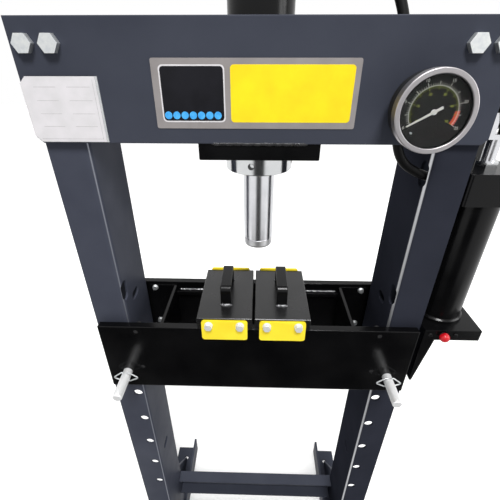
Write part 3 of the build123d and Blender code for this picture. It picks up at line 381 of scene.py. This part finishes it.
hoseSpec = {
    "radius": 0.0075, "length": 0.482, "roundSteps": 6, "runSteps": 12,
    "route": [(0.072, 0, 0.608), (0.124, 0, 0.608), (0.178, -0.012, 0.586), (0.205, -0.028, 0.530),
              (0.211, -0.040, 0.455), (0.214, -0.046, 0.385), (0.228, -0.051, 0.335),
              (0.262, -0.056, 0.315), (0.298, -0.050, 0.304), (0.334, -0.050, 0.304)]}
hoseCurve = bpy.data.curves.new("pressureHose", "CURVE")
hoseCurve.dimensions = "3D"
hoseCurve.bevel_depth = hoseSpec["radius"]
hoseCurve.bevel_resolution = hoseSpec["roundSteps"]
hoseLine = hoseCurve.splines.new("NURBS")
hoseLine.points.add(len(hoseSpec["route"]) - 1)
for spot, (x, y, rise) in zip(hoseLine.points, hoseSpec["route"]):
    spot.co = (x, y, bedTop + rise, 1)
hoseLine.order_u = 3
hoseLine.use_endpoint_u = True
hoseLine.resolution_u = hoseSpec["runSteps"]
hose = addPiece("pressureHose", hoseCurve, hoseRubber, "frame")
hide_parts("pressure_hose")
print("stage: hose laid")

# The plate's backing shows past its right, left and lower edges.
plateSpec = {
    "x0": -0.343, "x1": -0.234, "z0": 0.369, "z1": 0.459, "chamfer": 0.009, "thick": 0.003,
    "backing": {"thick": 0.0018, "right": 0.003, "left": 0.0004, "below": 0.0008}}
z0, z1 = bedTop + plateSpec["z0"], bedTop + plateSpec["z1"]
cut = plateSpec["chamfer"]
backing = plateSpec["backing"]
outline = [(plateSpec["x0"] + cut, z0), (plateSpec["x1"], z0), (plateSpec["x1"], z1),
           (plateSpec["x0"] + cut, z1), (plateSpec["x0"], z1 - cut), (plateSpec["x0"], z0 + cut)]
plateFront = headFront - plateSpec["thick"]
rim = [(x + backing["right"] if x == plateSpec["x1"] else x - backing["left"],
        z - backing["below"] if z == z0 else z) for x, z in outline]
addSlab("plateBacking", [rim], headFront, headFront - backing["thick"], zincPlate)
addSlab("dataPlate", [outline], headFront, plateFront, plateWhite)

# Two border rules meet at the lower right corner, and rows of short rules fill the plate.
ruleSpec = {
    "inset": 0.004, "stroke": 0.0005, "indent": 0.006, "rows": 4, "firstRow": 0.022, "rowPitch": 0.018,
    "spans": ((0.018, 0.050), (0.066, 0.100)), "tall": 0.0006, "corner": 0.0002, "cornerSteps": 2,
    "ink": 0.00008}
left, right = plateSpec["x0"] + ruleSpec["inset"], plateSpec["x1"] - ruleSpec["inset"]
low, high = z0 + ruleSpec["inset"], z1 - ruleSpec["inset"]
rules = []
for x0, foot, x1, top in (
        (left + ruleSpec["indent"], low, right, low + ruleSpec["stroke"]),
        (right - ruleSpec["stroke"], low + ruleSpec["stroke"], right, high)):
    rules.append([(x0, foot), (x1, foot), (x1, top), (x0, top)])
for row in range(ruleSpec["rows"]):
    foot = z0 + ruleSpec["firstRow"] + row * ruleSpec["rowPitch"]
    for start, end in ruleSpec["spans"]:
        rules.append(roundedRect(plateSpec["x0"] + start, foot, plateSpec["x0"] + end,
                                 foot + ruleSpec["tall"], ruleSpec["corner"], ruleSpec["cornerSteps"]))
addSlab("plateRules", rules, plateFront, plateFront - ruleSpec["ink"], ruleInk)

panelSpec = {"x0": -0.153, "x1": 0.140, "z0": 0.389, "z1": 0.482, "corner": 0.003, "thick": 0.0010}
panelFront = headFront - panelSpec["thick"]
panel = roundedRect(panelSpec["x0"], bedTop + panelSpec["z0"], panelSpec["x1"], bedTop + panelSpec["z1"],
                    panelSpec["corner"])
addSlab("headPanel", [panel], headFront, panelFront, filmGrey)
fieldSpecs = {
    "blackFieldRim": {
        "x0": -0.143, "x1": -0.050, "z0": 0.398, "z1": 0.474, "corner": 0.006, "proud": 0.0001,
        "film": plateWhite, "slot": "needle_white"},
    "blackField": {
        "x0": -0.141, "x1": -0.052, "z0": 0.400, "z1": 0.472, "corner": 0.005, "proud": 0.0002,
        "film": filmBlack, "slot": "black_paint"},
    "yellowField": {
        "x0": -0.042, "x1": 0.132, "z0": 0.398, "z1": 0.474, "corner": 0.005, "proud": 0.0002,
        "film": filmYellow, "slot": "yellow_paint"}}
for name, field in fieldSpecs.items():
    shape = roundedRect(field["x0"], bedTop + field["z0"], field["x1"], bedTop + field["z1"], field["corner"])
    addSlab(name, [shape], panelFront, panelFront - field["proud"], field["film"])
dotSpec = {"x": -0.1345, "z": 0.4075, "radius": 0.0054, "pitch": 0.0122, "count": 7, "thick": 0.0001}
dots = [disc(dotSpec["x"] + i * dotSpec["pitch"], bedTop + dotSpec["z"], dotSpec["radius"])
        for i in range(dotSpec["count"])]
dotBack = panelFront - fieldSpecs["blackField"]["proud"]
addSlab("blueDots", dots, dotBack, dotBack - dotSpec["thick"], filmBlue)
print("stage: plates fixed")

# The dial's two scales share one ring: white ticks outside it, lime ticks inside it.
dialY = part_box("gauge_dial")[0].y
scaleSpec = {
    "start": 210, "sweep": 240, "steps": 50, "majorEvery": 5, "ink": 0.00012, "ring": (0.0317, 0.0323),
    "major": {"half": 0.55, "outer": (0.0322, 0.0372), "inner": (0.0270, 0.0318)},
    "minor": {"half": 0.3, "outer": (0.0322, 0.0352), "inner": (0.0288, 0.0318)}}
scaleEnd = scaleSpec["start"] - scaleSpec["sweep"]
scaleFront = dialY - scaleSpec["ink"]
ticksOut, ticksIn = [], []
for i in range(scaleSpec["steps"] + 1):
    turn = scaleSpec["start"] - scaleSpec["sweep"] * i / scaleSpec["steps"]
    tick = scaleSpec["minor" if i % scaleSpec["majorEvery"] else "major"]
    ticksOut.append(dialSector(*tick["outer"], turn - tick["half"], turn + tick["half"]))
    ticksIn.append(dialSector(*tick["inner"], turn - tick["half"], turn + tick["half"]))
ring = [dialSector(*scaleSpec["ring"], scaleEnd, scaleSpec["start"])]
addSlab("dialTicks", ticksOut + ring, dialY, scaleFront, inkWhite)
addSlab("dialInnerTicks", ticksIn, dialY, scaleFront, inkLime)

bandSpec = {"inner": 0.0280, "outer": 0.0345, "start": 2, "ink": 0.00006}  # the last stretch of the scale
redBand = [dialSector(bandSpec["inner"], bandSpec["outer"], scaleEnd, bandSpec["start"])]
addSlab("dialRedBand", redBand, dialY, dialY - bandSpec["ink"], inkRed)

stopSpec = {"turn": 228, "reach": 0.036, "radius": 0.0013, "tall": 0.003}
turn = math.radians(stopSpec["turn"])
stopPin = [disc(gaugeX + stopSpec["reach"] * math.cos(turn), gaugeZ + stopSpec["reach"] * math.sin(turn),
                stopSpec["radius"])]
addSlab("dialStopPin", stopPin, dialY, dialY - stopSpec["tall"], zincPlate)

numberSpec = {
    "last": 5, "thick": 0.00005, "lift": 0.0001,
    "dialNumber": {"step": 5, "reach": 0.0408, "size": 0.0056, "ink": inkWhite, "slot": "needle_white"},
    "dialInnerNumber": {"step": 10, "reach": 0.0232, "size": 0.0046, "ink": inkLime, "slot": "yellow_paint"}}
for count in range(numberSpec["last"] + 1):
    turn = math.radians(scaleSpec["start"] - scaleSpec["sweep"] * count / numberSpec["last"])
    for name in ("dialNumber", "dialInnerNumber"):
        row = numberSpec[name]
        text = bpy.data.curves.new(name + str(count), "FONT")
        text.body = str(count * row["step"])
        text.size = row["size"]
        text.extrude = numberSpec["thick"]
        text.align_x = "CENTER"
        text.align_y = "CENTER"
        text.materials.append(row["ink"])
        label = bpy.data.objects.new(name + str(count), text)
        label.location = (gaugeX + row["reach"] * math.cos(turn), dialY - numberSpec["lift"],
                          gaugeZ + row["reach"] * math.sin(turn))
        label.rotation_euler = (math.radians(90), 0, 0)
        bpy.context.scene.collection.objects.link(label)
        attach(label, "frame")
print("stage: dial printed")

# A bead swells at each ripple, thins at its ends and sways a little from side to side.
beadSpec = {
    "pitch": 0.0032, "slicesPerRipple": 4, "fewestSlices": 6, "sides": 10, "ripple": 0.16,
    "endSize": 0.35, "taper": 0.5, "sway": 0.08, "swayTurn": 410}


def weldBead(name, start, end, radius, material):
    start, end = Vector(start), Vector(end)
    length = (end - start).length
    along = (end - start).normalized()
    side = along.orthogonal().normalized()
    up = along.cross(side)
    count = max(beadSpec["fewestSlices"], int(length / beadSpec["pitch"] * beadSpec["slicesPerRipple"]))
    build = bmesh.new()
    rings = []
    for i in range(count + 1):
        travel = length * i / count
        swell = abs(math.sin(math.pi * travel / beadSpec["pitch"]))
        ripple = 1 - beadSpec["ripple"] + beadSpec["ripple"] * swell
        taper = min(1, beadSpec["endSize"] + beadSpec["taper"] * min(travel, length - travel) / radius)
        sway = beadSpec["sway"] * radius * math.sin(travel * beadSpec["swayTurn"])
        middle = start + along * travel + side * sway
        rings.append(vertRing(build, middle, radius * ripple * taper, side, up, beadSpec["sides"]))
    for first, second in zip(rings, rings[1:]):
        joinRings(build, first, second)
    build.faces.new(rings[0][::-1])
    build.faces.new(rings[-1])
    for face in build.faces:
        face.smooth = True
    addPiece(name, finishMesh(build, name), material, "frame")


handleWeldSpec = {"radius": 0.0046, "past": 0.002}
for side in ("left", "right"):
    low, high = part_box(side + "_block_handle")
    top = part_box(side + "_press_block")[1].z
    for place, y in (("Front", low.y), ("Rear", high.y)):
        weldBead(side + "HandleWeld" + place, (low.x - handleWeldSpec["past"], y, top),
                 (high.x + handleWeldSpec["past"], y, top), handleWeldSpec["radius"],
                 weldMetal)
thrustWeldSpec = {"radius": 0.0034, "short": 0.02}
low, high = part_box("thrust_plate")
weldBead("thrustWeldFront", (low.x + thrustWeldSpec["short"], low.y, high.z),
         (high.x - thrustWeldSpec["short"], low.y, high.z), thrustWeldSpec["radius"],
         weldPainted)
print("stage: welds laid")

# Bore lining: a dark tube in the ring's spanner holes, painted shade that makes them read deep, with drill
# marks coarser than real.
boreShade = surface("drilledBorePaintedShade", {
    "base": "#1b1c1d", "second": "#333536", "cloud": 3, "grain": 0.8, "depth": 0.1, "rough": (0.3, 0.5)})
boreSpec = {
    "radius": 0.0054, "wall": 0.0009, "deep": 0.0057, "outerLip": 0.0007, "innerLip": 0.0009,
    "turn": -103, "count": 4, "sides": 24}
boreInner = boreSpec["radius"] - boreSpec["wall"]
ringLow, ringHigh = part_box("ring_nut")
ringRadius, ringMiddle = (ringHigh.x - ringLow.x) / 2, (ringLow.z + ringHigh.z) / 2
up = Vector((0, 0, 1))
build = bmesh.new()
for hole in range(boreSpec["count"]):
    angle = math.radians(boreSpec["turn"] + hole * 360 / boreSpec["count"])
    out = Vector((math.cos(angle), math.sin(angle), 0))
    across = Vector((-out.y, out.x, 0))
    loops = []
    for radius, depth in ((boreSpec["radius"], boreSpec["deep"]), (boreSpec["radius"], boreSpec["outerLip"]),
                          (boreInner, boreSpec["innerLip"]), (boreInner, boreSpec["deep"])):
        middle = out * (ringRadius - depth) + up * ringMiddle
        loops.append(vertRing(build, middle, radius, across, up, boreSpec["sides"]))
    for first, second in zip(loops, loops[1:] + loops[:1]):
        joinRings(build, first, second)
addPiece("spannerHoleShade", finishMesh(build, "spannerHoleShade"), boreShade, "frame")
print("stage: bores lined")

# Rib welds: along the top of the rear rib, where it meets the bed plate, left and right of the blocks.
ribWeldSpec = {"radius": 0.003, "short": 0.004, "sunk": 0.0005, "leftEnd": -0.128, "rightStart": 0.114}
low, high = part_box("bed_ribs")
y = high.y - ribWeldSpec["sunk"]
for name, x0, x1 in (("Left", low.x + ribWeldSpec["short"], ribWeldSpec["leftEnd"]),
                     ("Right", ribWeldSpec["rightStart"], high.x - ribWeldSpec["short"])):
    weldBead("ribWeld" + name, (x0, y, high.z), (x1, y, high.z), ribWeldSpec["radius"],
             weldMetal)
print("stage: rib welds laid")

lipSpec = {"thick": 0.0045, "rise": 0.0037, "corner": 0.006, "lap": 0.012, "proud": 0.0003}
for side in ("left", "right"):
    low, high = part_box(side + "_block_guides")
    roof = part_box(side + "_press_block")[1].z + lipSpec["rise"]  # the rear guide shows above the block
    strip = roundedRect(low.x, high.z - lipSpec["lap"], high.x, roof, lipSpec["corner"])
    back = high.y + lipSpec["proud"]
    addSlab(side + "GuideLip", [strip], back, back - lipSpec["thick"], yellowEnamel)
print("stage: guide lips set")

# Studio: a white backdrop to the eye and in mirrors, and a weak even light on everything else.
studioSpec = {"ambient": 0.28, "backdrop": 1}
white = hexColor("#ffffff")
world = bpy.data.worlds.new("studio")
bpy.context.scene.world = world
world.use_nodes = True
tree = world.node_tree
tree.nodes.clear()
rays = addNode(tree, "ShaderNodeLightPath").outputs
seen = addNode(tree, "ShaderNodeMath", {"operation": "MAXIMUM"}, {
    0: rays["Is Camera Ray"], 1: rays["Is Glossy Ray"]}).outputs[0]
seen = addNode(tree, "ShaderNodeMath", {"operation": "MAXIMUM"}, {
    0: seen, 1: rays["Is Transmission Ray"]}).outputs[0]
ambient = addNode(tree, "ShaderNodeBackground", None, {"Color": white, "Strength": studioSpec["ambient"]})
backdrop = addNode(tree, "ShaderNodeBackground", None, {"Color": white, "Strength": studioSpec["backdrop"]})
sky = addNode(tree, "ShaderNodeMixShader", None, {0: seen, 1: ambient.outputs[0], 2: backdrop.outputs[0]})
addNode(tree, "ShaderNodeOutputWorld", None, {0: sky.outputs[0]})

# The floor glows to the eye, more so away from the press; mirrors show a dark stretch in front of it, a
# painted reflection.
# Half, near and both reaches are metres; spread is metres aside for each metre ahead, and fade a share of it.
floorSpec = {
    "half": 12, "glowReach": (0.6, 2.8), "glow": (0.26, 0.76),
    "dark": {"near": (0.35, 0.7), "reach": (1.5, 2.2), "spread": (1.7, 0.46), "fade": (1.0, 0.5),
             "mirrored": (1.0, 0.03)}}
half = floorSpec["half"]
floorMesh = bpy.data.meshes.new("floor")
floorMesh.from_pydata([(-half, -half, 0), (half, -half, 0), (half, half, 0), (-half, half, 0)], [],
                      [(0, 1, 2, 3)])
floor = bpy.data.objects.new("floor", floorMesh)
bpy.context.scene.collection.objects.link(floor)
# Floor: pale smooth studio card that takes the shadow.
card = surface("paleFloorCardPressed", {
    "base": "#f0f0ef", "second": "#ececeb", "cloud": 900, "grain": 4, "depth": 0.02, "rough": (0.7, 0.8)})
floorMesh.materials.append(card)
tree = card.node_tree
dark = floorSpec["dark"]
rays = addNode(tree, "ShaderNodeLightPath").outputs
place = addNode(tree, "ShaderNodeTexCoord").outputs["Object"]
spot = addNode(tree, "ShaderNodeSeparateXYZ", None, {0: place}).outputs
ahead = addNode(tree, "ShaderNodeMath", {"operation": "MULTIPLY"}, {0: spot[1], 1: -1.0}).outputs[0]
bearing = addNode(tree, "ShaderNodeMath", {"operation": "DIVIDE"}, {0: spot[0], 1: ahead}).outputs[0]
aside = addNode(tree, "ShaderNodeMath", {"operation": "ABSOLUTE"}, {0: bearing}).outputs[0]
limit = addNode(tree, "ShaderNodeMapRange", None, {
    0: ahead, 1: dark["reach"][0], 2: dark["reach"][1],
    3: dark["spread"][0], 4: dark["spread"][1]}).outputs[0]
aside = addNode(tree, "ShaderNodeMath", {"operation": "DIVIDE"}, {0: aside, 1: limit}).outputs[0]
narrow = addNode(tree, "ShaderNodeMapRange", {"interpolation_type": "SMOOTHSTEP"}, {
    0: aside, 1: dark["fade"][0], 2: dark["fade"][1]}).outputs[0]
near = addNode(tree, "ShaderNodeMapRange", {"interpolation_type": "SMOOTHSTEP"}, {
    0: ahead, 1: dark["near"][0], 2: dark["near"][1]}).outputs[0]
shade = addNode(tree, "ShaderNodeMath", {"operation": "MULTIPLY"}, {0: narrow, 1: near}).outputs[0]
mirrored = addNode(tree, "ShaderNodeMapRange", None, {
    0: shade, 3: dark["mirrored"][0], 4: dark["mirrored"][1]}).outputs[0]
mirrored = addNode(tree, "ShaderNodeMath", {"operation": "MULTIPLY"}, {
    0: rays["Is Glossy Ray"], 1: mirrored}).outputs[0]
distance = addNode(tree, "ShaderNodeVectorMath", {"operation": "LENGTH"}, {0: place}).outputs["Value"]
level = addNode(tree, "ShaderNodeMapRange", None, {
    0: distance, 1: floorSpec["glowReach"][0], 2: floorSpec["glowReach"][1],
    3: floorSpec["glow"][0], 4: floorSpec["glow"][1]}).outputs[0]
lift = addNode(tree, "ShaderNodeMath", {"operation": "MULTIPLY_ADD"}, {
    0: rays["Is Camera Ray"], 1: level, 2: mirrored}).outputs[0]
glow = addNode(tree, "ShaderNodeEmission", None, {"Color": white, "Strength": lift})
dull = addNode(tree, "ShaderNodeMixShader", None, {
    0: rays["Is Glossy Ray"], 1: tree.nodes["Principled BSDF"].outputs[0]})
both = addNode(tree, "ShaderNodeAddShader", None, {0: dull.outputs[0], 1: glow.outputs[0]})
tree.links.new(both.outputs[0], tree.nodes["Material Output"].inputs[0])
print("stage: floor laid")

lampAim = Vector((0, 0, 1.2))
lamps = {
    "key": {"at": (0.4, -3.0, 5.6), "size": 1.4, "power": 290, "mirrored": True},
    "side": {"at": (2.5, -0.65, 2.0), "size": 1.2, "power": 24, "mirrored": True},
    "top": {"at": (0, 0.4, 3.6), "size": 2.0, "power": 36, "mirrored": True},
    "rear": {"at": (-0.7, 2.6, 2.2), "size": 1.8, "power": 26, "mirrored": False}}
for name, lamp in lamps.items():
    light = bpy.data.lights.new(name, "AREA")
    light.size = lamp["size"]
    light.energy = lamp["power"]
    holder = bpy.data.objects.new(name, light)
    holder.location = lamp["at"]
    holder.visible_glossy = lamp["mirrored"]
    holder.rotation_euler = (lampAim - Vector(lamp["at"])).to_track_quat("-Z", "Y").to_euler()
    bpy.context.scene.collection.objects.link(holder)

cameraSpec = {
    "lens": 24.787, "sensor": 36, "near": 0.02, "at": (0, -0.6164, 1.5678), "tilt": 60.195, "pan": 1.516}
lens = bpy.data.cameras.new("camera")
lens.lens = cameraSpec["lens"]
lens.sensor_width = cameraSpec["sensor"]
lens.sensor_fit = "HORIZONTAL"
lens.clip_start = cameraSpec["near"]
viewer = bpy.data.objects.new("camera", lens)
viewer.location = cameraSpec["at"]
viewer.rotation_euler = (math.radians(cameraSpec["tilt"]), 0, math.radians(cameraSpec["pan"]))
bpy.context.scene.collection.objects.link(viewer)
bpy.context.scene.camera = viewer
bpy.context.scene.view_settings.view_transform = "Standard"
print("stage: light and camera set")
